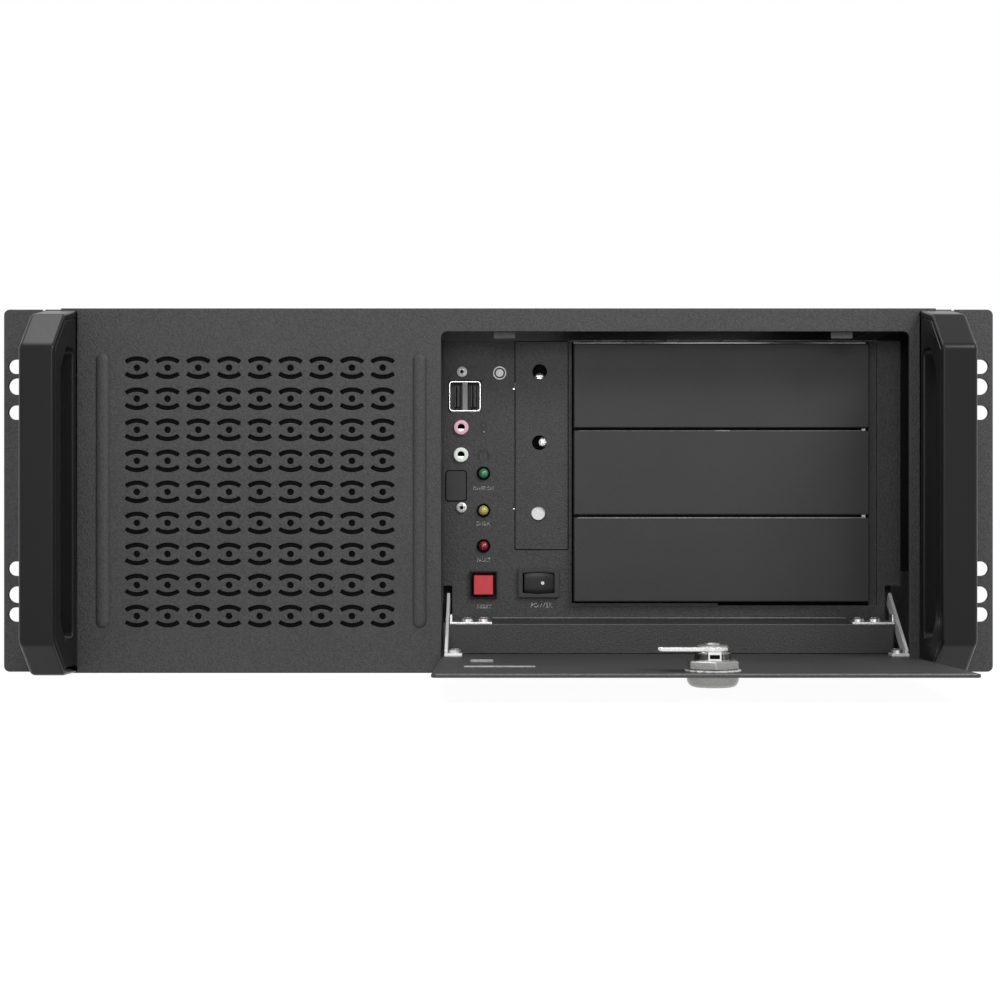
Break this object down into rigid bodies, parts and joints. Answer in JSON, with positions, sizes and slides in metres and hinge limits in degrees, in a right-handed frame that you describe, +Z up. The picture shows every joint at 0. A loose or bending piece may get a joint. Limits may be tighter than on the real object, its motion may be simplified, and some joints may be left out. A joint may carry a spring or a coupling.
{
  "type": "rackmount server case",
  "caption": "Empty 4U rackmount case with an eye-slot vented front, lockable drop-down door over drive bays and controls, and two pull handles.",
  "frame": {"origin": "centre of the rack hole pattern, in the plane of the ears' rear face that seats on the rack rails", "axes": "+Z up, +X to the right seen from the front, +Y from the front panel to the rear"},
  "size_m": [0.4826, 0.5773, 0.178],
  "materials": {
    "black_powder_coat": "fine-textured black powder coat",
    "zinc_plate": "bright zinc plate",
    "handle_black": "smooth satin black",
    "cover_plastic": "fine-grained black moulding",
    "bright_nickel": "nickel plate",
    "port_insert": "grey insulator",
    "jack_pink": "pink collar",
    "jack_mint": "pale green collar",
    "lens_green": "tinted green lens",
    "lens_yellow": "tinted yellow lens",
    "lens_red": "tinted red lens",
    "switch_black": "black switch moulding",
    "button_red": "red key cap",
    "filter_foam": "open black foam"
  },
  "bodies": {
    "chassis": {"access_channel": "black_powder_coat", "access_plate": "black_powder_coat", "access_studs": "zinc_plate", "bay_cover_1": "cover_plastic", "bay_cover_2": "cover_plastic", "bay_cover_3": "cover_plastic", "blank_plate": "cover_plastic", "board_standoffs": "zinc_plate", "bracket_screws": "zinc_plate", "chassis_tray": "black_powder_coat", "crossbar": "zinc_plate", "drive_cage": "zinc_plate", "dust_filter": "filter_foam", "fan_bracket": "zinc_plate", "fan_frame": "cover_plastic", "front_panel": "black_powder_coat", "handle_left": "handle_black", "handle_right": "handle_black", "hinge_bracket_left": "zinc_plate", "hinge_bracket_right": "zinc_plate", "inner_panel": "black_powder_coat", "jack_headphone": "jack_mint", "jack_microphone": "jack_pink", "lamp_clips": "cover_plastic", "lamp_disk": "lens_yellow", "lamp_fault": "lens_red", "lamp_power": "lens_green", "panel_screws": "zinc_plate", "port_shell": "bright_nickel", "port_tongues": "port_insert", "power_switch_frame": "switch_black", "rear_panel": "black_powder_coat", "reset_housing": "switch_black", "slot_covers": "zinc_plate", "top_cover": "black_powder_coat"},
    "door": {"door": "black_powder_coat", "hinge_arm_left": "zinc_plate", "hinge_arm_right": "zinc_plate", "arm_screws": "zinc_plate", "lock_body": "bright_nickel", "lock_nut": "bright_nickel"},
    "cam": {"lock_cam": "bright_nickel", "lock_cam_screw": "bright_nickel"},
    "reset_button": {"reset_button": "button_red"},
    "power_rocker": {"power_rocker": "switch_black"},
    "fan_rotor": {"fan_rotor": "cover_plastic"}
  },
  "joints": [
    {"name": "door_hinge", "type": "hinge", "parent": "chassis", "child": "door", "pos_m": [0.086, 0.016, -0.0646], "axis": [-1, 0, 0], "range_deg": [0, 88]},
    {"name": "lock_turn", "type": "hinge", "parent": "door", "child": "cam", "pos_m": [0.0912, -0.10677, -0.06732], "axis": [0, 0.0349, 0.9994], "range_deg": [0, 90]},
    {"name": "reset_press", "type": "slide", "parent": "chassis", "child": "reset_button", "axis": [0, 1, 0], "range_m": [0, 0.002], "stiffness_N_per_m": 400},
    {"name": "power_rock", "type": "hinge", "parent": "chassis", "child": "power_rocker", "pos_m": [0.0202, 0.033, -0.0467], "axis": [0, 0, -1], "range_deg": [0, 14]},
    {"name": "fan_spin", "type": "hinge", "parent": "chassis", "child": "fan_rotor", "pos_m": [-0.1172, 0.02, 0], "axis": [0, 1, 0], "continuous": true}
  ]
}
